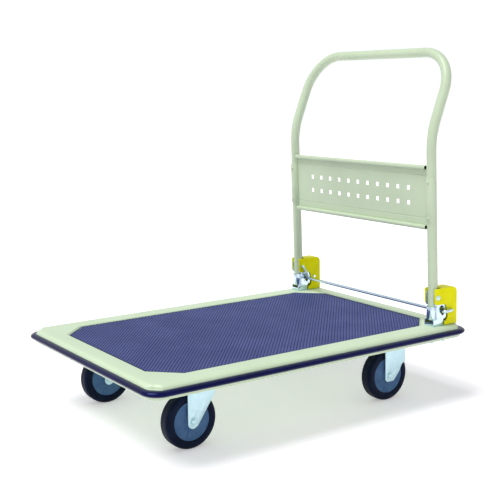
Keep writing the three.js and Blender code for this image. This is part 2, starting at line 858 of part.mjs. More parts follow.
function addWheel(word, axle, side) {
  const y = side * CASTER.side;
  add(word + "_axle_bolt", axleBolt(axle, y, side), "zinc");
  add(word + "_axle_nut", axleNut(axle, y, side), "zinc");
  add(word + "_axle_sleeve", turnedY(sleeveSection(), axle, y, WHEEL.axle, 10), "steel");
  add(word + "_hub", turnedY(hubSection, axle, y, WHEEL.axle, wheelSides, facet), "hub");
  add(word + "_tyre", turnedY(tyreSection, axle, y, WHEEL.axle, wheelSides, facet), "rubber");
}

for (const [word, side] of [
  ["left", 1],
  ["right", -1],
]) {
  add("front_" + word + "_fork", rigidFork(side), "zinc");
  addWheel("front_" + word, FRONT.axle, side);
  add("rear_" + word + "_swivel_plate", swivelPlate(side), "zinc");
  add("rear_" + word + "_ball_race", ballRace(side), "steel");
  add("rear_" + word + "_kingpin", kingpin(side), "zinc");
  add("rear_" + word + "_fork", swivelFork(side), "zinc");
  addWheel("rear_" + word, REAR.axle, side);
}

// The bumper is the longest part, so the cart's middle is the bumper's.
const extent = new THREE.Box3().setFromObject(cart);
cart.position.set(-extent.getCenter(new THREE.Vector3()).x, 0, -extent.min.z);

export default cart;
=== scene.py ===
import json
import math
import bmesh
import bpy
from mathutils import Matrix, Vector


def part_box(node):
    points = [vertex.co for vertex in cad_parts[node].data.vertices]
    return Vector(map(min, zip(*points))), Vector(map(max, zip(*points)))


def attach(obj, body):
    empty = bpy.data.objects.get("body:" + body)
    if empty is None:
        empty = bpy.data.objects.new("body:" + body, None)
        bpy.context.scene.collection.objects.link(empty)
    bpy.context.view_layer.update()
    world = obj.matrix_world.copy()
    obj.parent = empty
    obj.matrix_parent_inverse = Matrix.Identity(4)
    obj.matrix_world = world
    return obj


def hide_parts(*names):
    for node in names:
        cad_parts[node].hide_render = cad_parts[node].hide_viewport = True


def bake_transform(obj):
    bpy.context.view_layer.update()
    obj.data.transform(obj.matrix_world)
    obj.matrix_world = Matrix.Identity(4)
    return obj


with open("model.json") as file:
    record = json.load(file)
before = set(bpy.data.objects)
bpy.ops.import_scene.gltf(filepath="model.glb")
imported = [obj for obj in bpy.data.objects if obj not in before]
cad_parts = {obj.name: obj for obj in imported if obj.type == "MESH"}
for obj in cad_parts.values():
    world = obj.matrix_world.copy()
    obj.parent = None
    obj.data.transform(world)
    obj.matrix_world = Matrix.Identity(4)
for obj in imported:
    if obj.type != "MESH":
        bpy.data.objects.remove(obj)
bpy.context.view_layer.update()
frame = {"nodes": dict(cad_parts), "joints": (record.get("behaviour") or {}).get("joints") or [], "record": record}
bodyOf = {node: body for body, nodes in frame["record"]["behaviour"]["bodies"].items() for node in nodes}
slotOf = {part["node"]: part["material_slot"] for part in frame["record"]["subparts"]}
jointAt = {joint["name"]: Vector(joint["pos_m"]) for joint in frame["joints"]}
mm = 0.001
weld = 0.01 * mm
sides = {"left": 1, "right": -1}
print("frame loaded:", len(frame["nodes"]), "nodes")


# camera, floor and light

cameraLook = {"place": (1.4077, 2.0509, 0.8031), "yaw": 34.65, "pitch": 6.03, "roll": -0.61,
              "lens": 71.55, "shiftY": -0.12, "sensor": 36, "farthest": 60}


def addCamera(look):
    yaw, pitch, roll = (math.radians(look[turn]) for turn in ("yaw", "pitch", "roll"))
    ahead = Vector((-math.sin(yaw) * math.cos(pitch), -math.cos(yaw) * math.cos(pitch),
                    -math.sin(pitch)))
    level = ahead.cross(Vector((0, 0, 1))).normalized()
    upright = level.cross(ahead)
    right = level * math.cos(roll) + upright * math.sin(roll)
    up = upright * math.cos(roll) - level * math.sin(roll)
    bpy.ops.object.camera_add(location=look["place"])
    camera = bpy.context.object
    camera.name = "studioCamera"
    turned = Matrix((right, up, -ahead)).transposed().to_4x4()
    camera.matrix_world = Matrix.Translation(look["place"]) @ turned
    camera.data.lens = look["lens"]
    camera.data.sensor_width = look["sensor"]
    camera.data.shift_y = look["shiftY"]
    camera.data.clip_end = look["farthest"]
    bpy.context.scene.camera = camera


studio = {"floorRadius": 14, "floorColor": (0.88, 0.84, 0.9), "floorGlow": 0.36,
          "floorRough": 0.9, "skyColor": (0.96, 0.98, 1.0),
          "skyFill": 0.4, "skyShine": 0.75, "skySeen": 1.05}

lamps = {
    "keySun": {"from": (0.42, -0.1, 1.0), "spread": 34, "strength": 2.45},
    "frontSun": {"from": (1.0, 0.9, 0.5), "spread": 60, "strength": 0.3},
}


def addFloor():
    bpy.ops.mesh.primitive_circle_add(vertices=96, radius=studio["floorRadius"], fill_type="NGON")
    floor = bpy.context.object
    floor.name = "studioFloor"
    floorLook = bpy.data.materials.new("paleFloor")
    floorLook.use_nodes = True
    shader = floorLook.node_tree.nodes["Principled BSDF"]
    shader.inputs["Base Color"].default_value = (*studio["floorColor"], 1)
    shader.inputs["Roughness"].default_value = studio["floorRough"]
    shader.inputs["Specular IOR Level"].default_value = 0
    shader.inputs["Emission Color"].default_value = (1, 1, 1, 1)
    shader.inputs["Emission Strength"].default_value = studio["floorGlow"]
    floor.data.materials.append(floorLook)


# the sky lights the cart softly, is brighter in reflections and plain white to the camera
def addSky():
    world = bpy.data.worlds.new("studioSky")
    bpy.context.scene.world = world
    world.use_nodes = True
    sky = world.node_tree.nodes["Background"]
    sky.inputs["Color"].default_value = (*studio["skyColor"], 1)
    nodes, links = world.node_tree.nodes, world.node_tree.links
    path = nodes.new("ShaderNodeLightPath")
    shine, seen = nodes.new("ShaderNodeMapRange"), nodes.new("ShaderNodeMapRange")
    shine.inputs["To Min"].default_value = studio["skyFill"]
    shine.inputs["To Max"].default_value = studio["skyShine"]
    seen.inputs["To Max"].default_value = studio["skySeen"]
    links.new(path.outputs["Is Glossy Ray"], shine.inputs["Value"])
    links.new(shine.outputs["Result"], seen.inputs["To Min"])
    links.new(path.outputs["Is Camera Ray"], seen.inputs["Value"])
    links.new(seen.outputs["Result"], sky.inputs["Strength"])
    bpy.context.scene.view_settings.view_transform = "Standard"


def addLamps():
    for name, lamp in lamps.items():
        bpy.ops.object.light_add(type="SUN", location=(0, 0, 3))
        light = bpy.context.object
        light.name = name
        light.data.angle = math.radians(lamp["spread"])
        light.data.energy = lamp["strength"]
        light.rotation_euler = Vector(lamp["from"]).to_track_quat("Z", "Y").to_euler()


addCamera(cameraLook)
addFloor()
addSky()
addLamps()
print("camera, floor and lamps placed")


# finishes: each is a procedural material on object coordinates, in metres

finishes = {
    "deckPaint": {"light": (0.60, 0.735, 0.52), "dark": (0.565, 0.70, 0.485), "grain": 7,
                  "rough": (0.28, 0.38), "bumpGrain": 900, "bumpDepth": 0.00003,
                  "metal": 0, "shine": 0.4, "tint": (1, 1, 1)},
    "handlePaint": {"light": (0.55, 0.66, 0.47), "dark": (0.52, 0.625, 0.44), "grain": 10,
                    "rough": (0.3, 0.42), "bumpGrain": 1100, "bumpDepth": 0.00003,
                    "metal": 0, "shine": 0.4, "tint": (1, 1, 1)},
    "matRibs": {"light": (0.07, 0.09, 0.25), "dark": (0.052, 0.068, 0.205), "grain": 9,
                "rough": (0.5, 0.66), "bumpGrain": 1500, "bumpDepth": 0.00006,
                "metal": 0, "shine": 0.2, "tint": (0.6, 0.7, 1)},
    # painted shade: a darker blue for the mat's groove floors and its border, standing in for the shade there
    "matGroove": {"light": (0.024, 0.029, 0.105), "dark": (0.014, 0.018, 0.07), "grain": 26,
                  "rough": (0.55, 0.7), "bumpGrain": 1500, "bumpDepth": 0.00006,
                  "metal": 0, "shine": 0.1, "tint": (0.6, 0.7, 1)},
    "bumperVinyl": {"light": (0.003, 0.004, 0.05), "dark": (0.0015, 0.0025, 0.034), "grain": 30,
                    "rough": (0.14, 0.22), "bumpGrain": 500, "bumpDepth": 0.00002,
                    "metal": 0, "shine": 0.3, "tint": (0.22, 0.3, 0.85)},
    "yellowPlastic": {"light": (0.86, 0.84, 0.0), "dark": (0.79, 0.765, 0.0), "grain": 30,
                      "rough": (0.35, 0.48), "bumpGrain": 1400, "bumpDepth": 0.00005,
                      "metal": 0, "shine": 0.25, "tint": (1, 0.95, 0.1)},
    "zincPlate": {"light": (0.61, 0.84, 0.90), "dark": (0.55, 0.78, 0.85), "grain": 45,
                  "rough": (0.28, 0.38), "bumpGrain": 300, "bumpDepth": 0.000004,
                  "metal": 0.5, "shine": 0.5, "tint": (1, 1, 1)},
    "brightZinc": {"light": (0.68, 0.82, 0.91), "dark": (0.61, 0.76, 0.86), "grain": 45,
                   "rough": (0.12, 0.2), "bumpGrain": 120, "bumpDepth": 0.00001,
                   "metal": 1, "shine": 0.5, "tint": (1, 1, 1)},
    "bearingSteel": {"light": (0.5, 0.51, 0.52), "dark": (0.3, 0.3, 0.31), "grain": 90,
                     "rough": (0.3, 0.5), "bumpGrain": 900, "bumpDepth": 0.00004,
                     "metal": 1, "shine": 0.5, "tint": (1, 1, 1)},
    "tyreRubber": {"light": (0.004, 0.007, 0.018), "dark": (0.002, 0.003, 0.009), "grain": 40,
                   "rough": (0.45, 0.6), "bumpGrain": 900, "bumpDepth": 0.00006,
                   "metal": 0, "shine": 0.2, "tint": (0.3, 0.45, 1)},
    "hubPlastic": {"light": (0.066, 0.142, 0.28), "dark": (0.046, 0.108, 0.235), "grain": 45,
                   "rough": (0.4, 0.5), "bumpGrain": 1000, "bumpDepth": 0.00005,
                   "metal": 0, "shine": 0.25, "tint": (0.6, 0.8, 1)},
    # painted shade: near-black for the inside of the hollow panel rolls' ends
    "darkPlug": {"light": (0.004, 0.004, 0.005), "dark": (0.002, 0.002, 0.003), "grain": 60,
                 "rough": (0.6, 0.8), "bumpGrain": 700, "bumpDepth": 0.0001,
                 "metal": 0, "shine": 0.1, "tint": (1, 1, 1)},
}
grainLook = {"darkTo": 0.35, "lightFrom": 0.65, "detail": 4, "smearScale": 3.3, "smearDetail": 6,
             "bumpDetail": 3, "bumpStrength": 0.6}
made = {}


def finish(name):
    if name in made:
        return made[name]
    look = finishes[name]
    material = bpy.data.materials.new(name)
    material.use_nodes = True
    nodes, links = material.node_tree.nodes, material.node_tree.links
    shader = nodes["Principled BSDF"]
    shader.inputs["Metallic"].default_value = look["metal"]
    shader.inputs["Specular IOR Level"].default_value = look["shine"]
    shader.inputs["Specular Tint"].default_value = (*look["tint"], 1)
    place = nodes.new("ShaderNodeTexCoord")

    def cloud(scale, detail):
        texture = nodes.new("ShaderNodeTexNoise")
        texture.inputs["Scale"].default_value = scale
        texture.inputs["Detail"].default_value = detail
        links.new(place.outputs["Object"], texture.inputs["Vector"])
        return texture.outputs["Fac"]

    blotch = cloud(look["grain"], grainLook["detail"])
    ramp = nodes.new("ShaderNodeValToRGB")
    ramp.color_ramp.elements[0].position = grainLook["darkTo"]
    ramp.color_ramp.elements[0].color = (*look["dark"], 1)
    ramp.color_ramp.elements[1].position = grainLook["lightFrom"]
    ramp.color_ramp.elements[1].color = (*look["light"], 1)
    links.new(blotch, ramp.inputs["Fac"])
    links.new(ramp.outputs["Color"], shader.inputs["Base Color"])
    smear = cloud(look["grain"] * grainLook["smearScale"], grainLook["smearDetail"])
    spread = nodes.new("ShaderNodeMapRange")
    spread.inputs["To Min"].default_value = look["rough"][0]
    spread.inputs["To Max"].default_value = look["rough"][1]
    links.new(smear, spread.inputs["Value"])
    links.new(spread.outputs["Result"], shader.inputs["Roughness"])
    bump = nodes.new("ShaderNodeBump")
    bump.inputs["Strength"].default_value = grainLook["bumpStrength"]
    bump.inputs["Distance"].default_value = look["bumpDepth"]
    links.new(cloud(look["bumpGrain"], grainLook["bumpDetail"]), bump.inputs["Height"])
    links.new(bump.outputs["Normal"], shader.inputs["Normal"])
    made[name] = material
    return material


finishOfSlot = {"deck_paint": "deckPaint", "handle_paint": "handlePaint", "mat_rubber": "matRibs",
                "bumper_vinyl": "bumperVinyl", "cover_plastic": "yellowPlastic", "zinc_plate": "zincPlate",
                "bearing_steel": "bearingSteel", "tyre_rubber": "tyreRubber", "hub_plastic": "hubPlastic"}


# modelling steps that the pieces share

def deselectAll():
    if bpy.context.object and bpy.context.object.mode != "OBJECT":
        bpy.ops.object.mode_set(mode="OBJECT")
    bpy.ops.object.select_all(action="DESELECT")


def openEdit(piece, selection="DESELECT"):
    deselectAll()
    piece.select_set(True)
    bpy.context.view_layer.objects.active = piece
    bpy.ops.object.mode_set(mode="EDIT")
    bpy.ops.mesh.select_mode(type="VERT")
    bpy.ops.mesh.select_all(action=selection)


def pick(piece, kind, test):
    bpy.ops.mesh.select_mode(type={"verts": "VERT", "edges": "EDGE", "faces": "FACE"}[kind])
    bpy.ops.mesh.select_all(action="DESELECT")
    mesh = bmesh.from_edit_mesh(piece.data)
    for part in getattr(mesh, kind):
        if test(part):
            part.select_set(True)
    bmesh.update_edit_mesh(piece.data)


def middleOf(edge):
    return (edge.verts[0].co + edge.verts[1].co) / 2


def weldAndFace():
    bpy.ops.mesh.select_all(action="SELECT")
    bpy.ops.mesh.remove_doubles(threshold=weld)
    bpy.ops.mesh.normals_make_consistent(inside=False)


def closeEdit(piece, smoothAngle=35):
    bpy.ops.object.mode_set(mode="OBJECT")
    deselectAll()
    piece.select_set(True)
    bpy.context.view_layer.objects.active = piece
    bpy.ops.object.shade_smooth_by_angle(angle=math.radians(smoothAngle))


def applyModifier(piece, kind, **values):
    deselectAll()
    piece.select_set(True)
    bpy.context.view_layer.objects.active = piece
    modifier = piece.modifiers.new(kind.title(), kind)
    for name, value in values.items():
        setattr(modifier, name, value)
    bpy.ops.object.modifier_apply(modifier=modifier.name)


def finishPiece(piece, node, look=None, ride=True):
    piece.data.materials.clear()
    piece.data.materials.append(finish(look or finishOfSlot[slotOf[node]]))
    if ride:
        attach(piece, bodyOf[node])


# a loop of points laid out for spinning, open or closed
def startLoop(name, points, closed=True):
    deselectAll()
    bpy.ops.mesh.primitive_circle_add(vertices=len(points), radius=1)
    piece = bpy.context.object
    piece.name = name
    for vert, point in zip(piece.data.vertices, points):
        vert.co = point
    openEdit(piece)
    if not closed:
        ends = {len(points) - 1, 0}
        pick(piece, "edges", lambda edge: {vert.index for vert in edge.verts} == ends)
        bpy.ops.mesh.delete(type="EDGE")
        bpy.ops.mesh.select_mode(type="VERT")
    bpy.ops.mesh.select_all(action="SELECT")
    return piece


# a section spun round each corner of a rounded rectangle and drawn along its sides
def ringPiece(name, outline, half, corner, middleX, steps=9, closed=True):
    reachX, reachY = half[0] - corner, half[1] - corner
    points = [(middleX + reachX + corner + out, reachY, z) for out, z in outline]
    piece = startLoop(name, points, closed)
    for centre, move in (((reachX, reachY), (-2 * reachX, 0, 0)),
                         ((-reachX, reachY), (0, -2 * reachY, 0)),
                         ((-reachX, -reachY), (2 * reachX, 0, 0)),
                         ((reachX, -reachY), (0, 2 * reachY, 0))):
        bpy.ops.mesh.spin(steps=steps, angle=-math.pi / 2, axis=(0, 0, 1),
                          center=(middleX + centre[0], centre[1], 0))
        bpy.ops.mesh.extrude_region_move(TRANSFORM_OT_translate={"value": move})
    weldAndFace()
    return piece


# a section of (radius, distance along) turned right round an axis through a point
def turnedPiece(name, section, centre, axis="Y", steps=32, closed=False):
    along = {"X": Vector((1, 0, 0)), "Y": Vector((0, 1, 0)), "Z": Vector((0, 0, 1))}[axis]
    outward = Vector((1, 0, 0)) if axis != "X" else Vector((0, 0, 1))
    points = [Vector(centre) + outward * radius + along * reach for radius, reach in section]
    piece = startLoop(name, points, closed)
    bpy.ops.mesh.spin(steps=steps, angle=2 * math.pi, axis=along, center=centre)
    weldAndFace()
    closeEdit(piece)
    return piece


# a round tube drawn through straights and bends, each bend given as (radius, new direction, steps)
def drawnTube(name, radius, start, direction, moves, vertices=24):
    here, heading = Vector(start), Vector(direction).normalized()
    deselectAll()
    turn = heading.to_track_quat("Z", "Y").to_euler()
    bpy.ops.mesh.primitive_circle_add(vertices=vertices, radius=radius, location=here, rotation=turn)
    piece = bpy.context.object
    piece.name = name
    bpy.ops.object.transform_apply(location=True, rotation=True, scale=True)
    openEdit(piece, "SELECT")
    for move in moves:
        if isinstance(move, (int, float)):
            bpy.ops.mesh.extrude_region_move(TRANSFORM_OT_translate={"value": heading * move})
            here = here + heading * move
            continue
        bend, toward, steps = move
        toward = Vector(toward).normalized()
        inward = (toward - heading * toward.dot(heading)).normalized()
        angle = heading.angle(toward)
        centre = here + inward * bend
        axis = heading.cross(toward).normalized()
        bpy.ops.mesh.spin(steps=steps, angle=-angle, axis=axis, center=centre)
        here = centre + Matrix.Rotation(angle, 3, axis) @ (-inward * bend)
        heading = toward
    return piece


# caps each open end of a tube, with a mouth sunk into it if it is hollow
def endTube(piece, wall=0.0, depth=0.0):
    pick(piece, "edges", lambda edge: edge.is_boundary)
    bpy.ops.mesh.edge_face_add()
    rims = [face.index for face in bmesh.from_edit_mesh(piece.data).faces if face.select]
    mesh = bmesh.from_edit_mesh(piece.data)
    mesh.faces.ensure_lookup_table()
    places = [(mesh.faces[index].calc_center_median().copy(), index) for index in rims]
    for centre, index in places:
        pick(piece, "faces", lambda face: (face.calc_center_median() - centre).length < 0.0001
             and len(face.verts) > 4)
        bpy.ops.mesh.normals_make_consistent(inside=False)
        if wall:
            bpy.ops.mesh.inset(thickness=wall)
            mesh = bmesh.from_edit_mesh(piece.data)
            sunk = [face.normal.copy() for face in mesh.faces if face.select][0] * -depth
            bpy.ops.mesh.extrude_region_move(TRANSFORM_OT_translate={"value": sunk})
    weldAndFace()
    closeEdit(piece)


# a copy of a CAD node with its edges slightly rounded
def softenedCopy(node, width=0.5 * mm, look=None, segments=2, corner=38):
    mesh = frame["nodes"][node].data.copy()
    piece = bpy.data.objects.new(node + "_soft", mesh)
    bpy.context.scene.collection.objects.link(piece)
    openEdit(piece, "SELECT")
    bpy.ops.mesh.remove_doubles(threshold=weld)
    bpy.ops.mesh.dissolve_limited(angle_limit=math.radians(1))
    bpy.ops.mesh.normals_make_consistent(inside=False)
    bpy.ops.object.mode_set(mode="OBJECT")
    applyModifier(piece, "BEVEL", width=width, segments=segments, limit_method="ANGLE",
                  angle_limit=math.radians(corner), use_clamp_overlap=True)
    bpy.ops.object.shade_smooth_by_angle(angle=math.radians(30))
    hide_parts(node)
    finishPiece(piece, node, look)


# one more copy of a finished shape, moved, with a mesh of its own
def copyAt(piece, name, move):
    mesh = piece.data.copy()
    mesh.transform(Matrix.Translation(move))
    twin = bpy.data.objects.new(name, mesh)
    bpy.context.scene.collection.objects.link(twin)
    return twin


def place(node):
    low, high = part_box(node)
    return low, high, (low + high) / 2


# deck: a pressed pan with rolled edges, a shallow bed for the mat and a turned-in lip

deckPan = {"roll": 12 * mm, "corner": 30 * mm, "lip": 12 * mm, "sheet": 1.6 * mm, "bedEdge": 3.5 * mm,
           "gap": 0.8 * mm, "rollSteps": 7, "cornerDraw": 8 * mm, "cornerSteps": 10, "foot": 2 * mm,
           "footEase": 0.6 * mm, "bedRound": 1.2 * mm, "bedDrop": 0.2 * mm}
matOctagon = {"chamfer": 62 * mm}


def octagonPoints(low, high, chamfer, spread, z):
    x0, x1, y0, y1 = low.x - spread, high.x + spread, low.y - spread, high.y + spread
    return [(x1, y1 - chamfer, z), (x1 - chamfer, y1, z), (x0 + chamfer, y1, z), (x0, y1 - chamfer, z),
            (x0, y0 + chamfer, z), (x0 + chamfer, y0, z), (x1 - chamfer, y0, z), (x1, y0 + chamfer, z)]


# the raised part is drawn in at its corners, more in the middle of each corner than at its ends
def drawCorners(half, middle, above):
    piece, steps = bpy.context.object, deckPan["cornerSteps"]
    reachX, reachY = half[0] - deckPan["corner"], half[1] - deckPan["corner"]
    for signX in (1, -1):
        for signY in (1, -1):
            centre = Vector((middle.x + signX * reachX, signY * reachY))
            for step in range(1, steps):
                turn = math.pi / 2 * step / steps
                ray = Vector((signX * math.cos(turn), signY * math.sin(turn)))
                pick(piece, "verts", lambda vert: vert.co.z > above - 1 * mm
                     and (vert.co.xy - centre).length > 10 * mm
                     and (vert.co.xy - centre).normalized().dot(ray) > 0.9999)
                draw = ray * -deckPan["cornerDraw"] * math.sin(2 * turn) ** 1.5
                bpy.ops.transform.translate(value=(draw.x, draw.y, 0))


def addDeckPan():
    low, high, middle = place("deck_pan")
    matLow, matHigh, _ = place("deck_mat")
    bumperLow = place("bumper_strip")[0]
    roll, steps = deckPan["roll"], deckPan["rollSteps"]
    outline = [(-roll - 2 * mm, high.z)]
    for step in range(steps + 1):
        turn = math.pi / 2 * step / steps
        outline.append((-roll + roll * math.sin(turn), high.z - roll + roll * math.cos(turn)))
    foot, ease = deckPan["foot"], deckPan["footEase"]
    outline += [(0, bumperLow.z + foot), (0, low.z + foot), (-ease, low.z + ease), (-foot, low.z),
                (-deckPan["lip"], low.z), (-deckPan["lip"], low.z + 3 * mm)]
    half = ((high.x - low.x) / 2, (high.y - low.y) / 2)
    piece = ringPiece("deckPanSheet", outline, half, deckPan["corner"], middle.x,
                      deckPan["cornerSteps"], False)
    drawCorners(half, middle, place("bumper_strip")[1].z)
    bpy.ops.mesh.select_all(action="DESELECT")
    bpy.ops.mesh.primitive_circle_add(vertices=8, radius=0.2, location=(0, 0, high.z))
    spread = deckPan["gap"] + deckPan["bedEdge"]
    corners = octagonPoints(matLow, matHigh, matOctagon["chamfer"], spread, high.z)
    mesh = bmesh.from_edit_mesh(piece.data)
    octagon = [vert for vert in mesh.verts if vert.select]
    for vert, corner in zip(octagon, corners):
        vert.co = corner
    bmesh.update_edit_mesh(piece.data)
    topOpen = lambda edge: len(edge.link_faces) < 2 and abs(middleOf(edge).z - high.z) < 0.0001
    pick(piece, "edges", topOpen)
    bpy.ops.mesh.fill(use_beauty=True)
    rimX, rimY = (reach - deckPan["corner"] for reach in half)
    insideBed = lambda point: abs(point.x - middle.x) < rimX and abs(point.y) < rimY
    pick(piece, "edges", lambda edge: len(edge.link_faces) < 2 and insideBed(middleOf(edge)))
    bpy.ops.mesh.edge_face_add()
    bpy.ops.mesh.select_mode(type="FACE")
    bpy.ops.mesh.inset(thickness=deckPan["bedEdge"])
    bpy.ops.transform.translate(value=(0, 0, matLow.z - deckPan["bedDrop"] - high.z))
    bpy.ops.mesh.select_all(action="SELECT")
    bpy.ops.mesh.normals_make_consistent(inside=False)
    pick(piece, "edges", lambda edge: len(edge.link_faces) == 2 and insideBed(middleOf(edge))
         and edge.calc_face_angle(0) > 0.3)
    bpy.ops.mesh.bevel(offset=deckPan["bedRound"], segments=3)
    bpy.ops.object.mode_set(mode="OBJECT")
    applyModifier(piece, "SOLIDIFY", thickness=deckPan["sheet"], offset=-1)
    openEdit(piece)
    closeEdit(piece, 30)
    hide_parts("deck_pan")
    finishPiece(piece, "deck_pan")


bumper = {"groove": 0.4 * mm, "grooves": (6, 12), "steps": 18, "leg": 11 * mm, "gap": 0.3 * mm,
          "legThickness": 2 * mm}


def addBumper():
    low, high, middle = place("bumper_strip")
    deckLow, deckHigh, _ = place("deck_pan")
    inner, leg = bumper["gap"], bumper["leg"]
    reach = high.x - deckHigh.x - 0.1 * mm
    rise = (high.z - low.z) / 2
    outline = []
    for step in range(bumper["steps"] + 1):
        turn = math.pi * step / bumper["steps"] - math.pi / 2
        grooved = bumper["groove"] if step in bumper["grooves"] else 0
        out = inner + (reach - inner - grooved) * math.cos(turn)
        outline.append((out, middle.z + rise * math.sin(turn)))
    under = high.z - bumper["legThickness"]
    outline += [(-leg, high.z - 0.2 * mm), (-leg, under), (inner, under), (inner, low.z + 0.6 * mm)]
    half = ((deckHigh.x - deckLow.x) / 2, (deckHigh.y - deckLow.y) / 2)
    piece = ringPiece("bumperStrip", outline, half, deckPan["corner"], middle.x, steps=12)
    closeEdit(piece, 60)
    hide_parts("bumper_strip")
    finishPiece(piece, "bumper_strip")


# mat: fine ridges that run slantwise, inside a plain border, with painted shade darkening the groove floors and
# the border

mat = {"pitch": 7.2 * mm, "slant": (0.65, 0.76), "groove": 0.7 * mm, "border": 1.6 * mm, "base": 0.5 * mm,
       "profile": ((0, 1), (0.12, 1), (0.22, 0), (0.78, 0), (0.88, 1)), "borderDrop": 0.25 * mm,
       "borderOverlap": 0.3 * mm, "borderSheet": 0.9 * mm, "borderRound": 0.25 * mm}


def addMat():
    low, high, middle = place("deck_mat")
    along = Vector((*mat["slant"], 0)).normalized()
    across = Vector((along.y, -along.x, 0))
    span = high - low
    reach = (abs(across.x) * span.x + abs(across.y) * span.y) / 2
    length = (abs(along.x) * span.x + abs(along.y) * span.y) / 2
    ridges = math.ceil(2 * reach / mat["pitch"])
    profile = mat["profile"]
    deselectAll()
    bpy.ops.mesh.primitive_grid_add(x_subdivisions=ridges * len(profile), y_subdivisions=1, size=1)
    piece = bpy.context.object
    piece.name = "deckMatRibs"
    columns = ridges * len(profile) + 1
    for vert in piece.data.vertices:
        column = vert.index % columns
        ridge, part = divmod(column, len(profile))
        offset = -reach + (ridge + profile[part][0]) * mat["pitch"]
        z = high.z - profile[part][1] * mat["groove"]
        end = length if vert.index >= columns else -length
        vert.co = Vector((middle.x, middle.y, z)) + across * offset + along * end
    openEdit(piece)
    corners = octagonPoints(low, high, matOctagon["chamfer"], -mat["border"], high.z)
    for here, there in zip(corners, corners[1:] + corners[:1]):
        side = Vector(there) - Vector(here)
        bpy.ops.mesh.select_all(action="SELECT")
        bpy.ops.mesh.bisect(plane_co=here, plane_no=(side.y, -side.x, 0), clear_outer=True)
    bpy.ops.mesh.select_all(action="SELECT")
    bpy.ops.mesh.normals_make_consistent(inside=False)
    bpy.ops.object.mode_set(mode="OBJECT")
    applyModifier(piece, "SOLIDIFY", thickness=mat["base"], offset=-1)
    openEdit(piece)
    closeEdit(piece, 20)
    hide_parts("deck_mat")
    finishPiece(piece, "deck_mat")
    piece.data.materials.append(finish("matGroove"))
    # the flat groove floors take the darker finish: painted shade in the grooves
    for face in piece.data.polygons:
        if face.normal.z > 0.9 and face.center.z < high.z - mat["groove"] / 2:
            face.material_index = 1
    # a thin ring round the mat, finished dark: painted shadow along the mat's sunken edge
    rim = octagonPoints(low, high, matOctagon["chamfer"], 0, high.z - mat["borderDrop"])
    border = startLoop("deckMatBorder", rim)
    bpy.ops.mesh.edge_face_add()
    bpy.ops.mesh.inset(thickness=mat["border"] + mat["borderOverlap"])
    bpy.ops.mesh.delete(type="FACE")
    bpy.ops.object.mode_set(mode="OBJECT")
    applyModifier(border, "SOLIDIFY", thickness=mat["borderSheet"], offset=-1)
    applyModifier(border, "BEVEL", width=mat["borderRound"], segments=2, limit_method="ANGLE")
    openEdit(border)
    closeEdit(border, 30)
    finishPiece(border, "deck_mat", "matGroove")


addDeckPan()
addBumper()
addMat()
print("deck, bumper and mat made")


# handle: one drawn tube with a pierced panel, laid out upright and then tilted forward about its pins

handle = {"radius": 12.7 * mm, "wall": 1.6 * mm, "mouth": 40 * mm, "bend": 200 * mm, "corner": 106 * mm,
          "bendAt": 674.5 * mm, "top": 879.9 * mm, "lean": 88.7 * mm, "foot": 232.5 * mm, "side": 279 * mm,
          "tilt": 1.5, "sides": 28}


def tiltForward(piece):
    pin = jointAt["handle_fold"]
    turned = Matrix.Rotation(math.radians(handle["tilt"]), 4, "Y")
    piece.data.transform(Matrix.Translation(pin) @ turned @ Matrix.Translation(-pin))


def addHandleTube():
    pin = jointAt["handle_fold"]
    side = handle["side"]
    lean = math.atan2(handle["lean"], handle["top"] - handle["bendAt"])
    upward = Vector((-math.sin(lean), 0, math.cos(lean)))
    tangent = handle["bend"] * math.tan(lean / 2)
    slope = (handle["top"] - handle["bendAt"]) / math.cos(lean)
    rise = handle["bendAt"] - tangent - handle["foot"]
    leaning = slope - tangent - handle["corner"]
    moves = [rise, (handle["bend"], upward, 6), leaning, (handle["corner"], (0, -1, 0), 14),
             2 * (side - handle["corner"]), (handle["corner"], -upward, 14), leaning,
             (handle["bend"], (0, 0, -1), 6), rise]
    foot = (pin.x, side, handle["foot"])
    piece = drawnTube("handleTube", handle["radius"], foot, (0, 0, 1), moves, handle["sides"])
    endTube(piece, handle["wall"], handle["mouth"])
    tiltForward(piece)
    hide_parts("handle_tube")
    finishPiece(piece, "handle_tube")


panel = {"sheet": 1.5 * mm, "roll": 6 * mm, "rollHalf": 264.8 * mm, "sheetHalf": 264.8 * mm, "holes": 11,
         "pitch": 39.5 * mm, "hole": 11 * mm, "rows": (499.5 * mm, 538 * mm), "low": 442.5 * mm,
         "high": 593.5 * mm, "creases": (465 * mm, 573 * mm), "creaseHalf": 1.6 * mm,
         "creaseDepth": 0.8 * mm, "edgeRound": 0.25 * mm}
flange = {"low": 457.5 * mm, "high": 570.5 * mm, "wrap": (-86, 78), "steps": 14, "gap": 0.35 * mm,
          "corner": 1.9 * mm, "edgeRound": 0.3 * mm}
rivet = {"aboveLow": 10 * mm, "belowHigh": 13 * mm,
         "section": [(0, 2.4 * mm), (1.6 * mm, 2.2 * mm), (3.2 * mm, 1.6 * mm), (4.2 * mm, 0.4 * mm),
                     (4.3 * mm, 0), (0, 0)]}


# the front of a sheet faces +x before it gets its thickness
def faceFront(piece):
    bpy.ops.mesh.select_all(action="SELECT")
    bpy.ops.mesh.normals_make_consistent(inside=False)
    mesh = bmesh.from_edit_mesh(piece.data)
    if sum(face.normal.x for face in mesh.faces) < 0:
        bpy.ops.mesh.flip_normals()
    bpy.ops.object.mode_set(mode="OBJECT")


def thickenSheet(piece, side, edge):
    applyModifier(piece, "SOLIDIFY", thickness=panel["sheet"], offset=side)
    applyModifier(piece, "BEVEL", width=edge, segments=2, limit_method="ANGLE",
                  angle_limit=math.radians(60))
    openEdit(piece)


